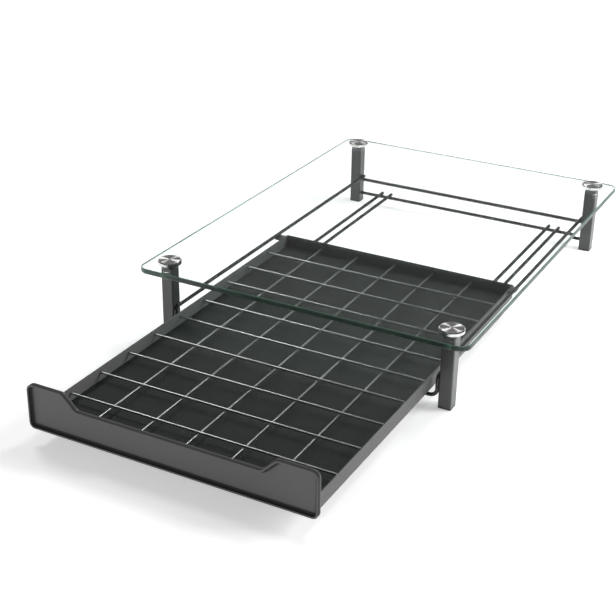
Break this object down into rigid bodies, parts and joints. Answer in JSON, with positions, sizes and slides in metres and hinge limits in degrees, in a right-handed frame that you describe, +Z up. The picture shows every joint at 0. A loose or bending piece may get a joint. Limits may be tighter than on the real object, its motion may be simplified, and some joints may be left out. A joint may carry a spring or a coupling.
{
  "type": "coffee pod drawer",
  "caption": "Glass-topped stand on square steel legs with a wire-railed sliding drawer that holds coffee pods in a grid of cells.",
  "frame": {"origin": "middle of the whole object's underside, on the floor plane, with the drawer about half out", "axes": "+Z up; the drawer opens towards -Y; X runs across"},
  "size_m": [0.32, 0.624, 0.079],
  "materials": {
    "clear_glass": "clear tempered glass with green polished edges",
    "leg_paint": "black powder coat, semi-matte",
    "wire_paint": "black powder coat, semi-gloss",
    "tray_paint": "dark grey powder coat, fine texture",
    "panel_paint": "dark grey semi-gloss coat",
    "grid_metal": "bright steel wire",
    "cap_metal": "polished, spun across the top",
    "zinc_steel": "zinc plated",
    "clear_plastic": "milky translucent plastic",
    "pad_rubber": "matte",
    "foot_plastic": "matte black"
  },
  "bodies": {
    "stand": {"caps": "cap_metal", "front_cradle": "wire_paint", "front_left_foot": "foot_plastic", "front_left_leg": "leg_paint", "front_right_foot": "foot_plastic", "front_right_leg": "leg_paint", "glass_pads": "pad_rubber", "glass_top": "clear_glass", "glass_washers": "clear_plastic", "left_inner_runner": "wire_paint", "left_outer_runner": "wire_paint", "left_side_rail": "wire_paint", "leg_inserts": "zinc_steel", "rear_left_foot": "foot_plastic", "rear_left_leg": "leg_paint", "rear_lower_bar": "wire_paint", "rear_right_foot": "foot_plastic", "rear_right_leg": "leg_paint", "rear_upper_bar": "wire_paint", "right_inner_runner": "wire_paint", "right_outer_runner": "wire_paint", "right_side_rail": "wire_paint", "studs": "zinc_steel"},
    "drawer": {"cross_wire_1": "grid_metal", "cross_wire_2": "grid_metal", "cross_wire_3": "grid_metal", "cross_wire_4": "grid_metal", "cross_wire_5": "grid_metal", "cross_wire_6": "grid_metal", "cross_wire_7": "grid_metal", "cross_wire_8": "grid_metal", "cross_wire_9": "grid_metal", "front_panel": "panel_paint", "left_hold_down_tab": "tray_paint", "long_wire_1": "grid_metal", "long_wire_2": "grid_metal", "long_wire_3": "grid_metal", "long_wire_4": "grid_metal", "long_wire_5": "grid_metal", "right_hold_down_tab": "tray_paint", "tray_floor": "tray_paint", "tray_front_wall": "tray_paint", "tray_left_wall": "tray_paint", "tray_rear_wall": "tray_paint", "tray_right_wall": "tray_paint"}
  },
  "joints": [
    {"name": "drawer_slide", "type": "slide", "parent": "stand", "child": "drawer", "axis": [0, -1, 0], "range_m": [-0.1915, 0.1798]}
  ]
}
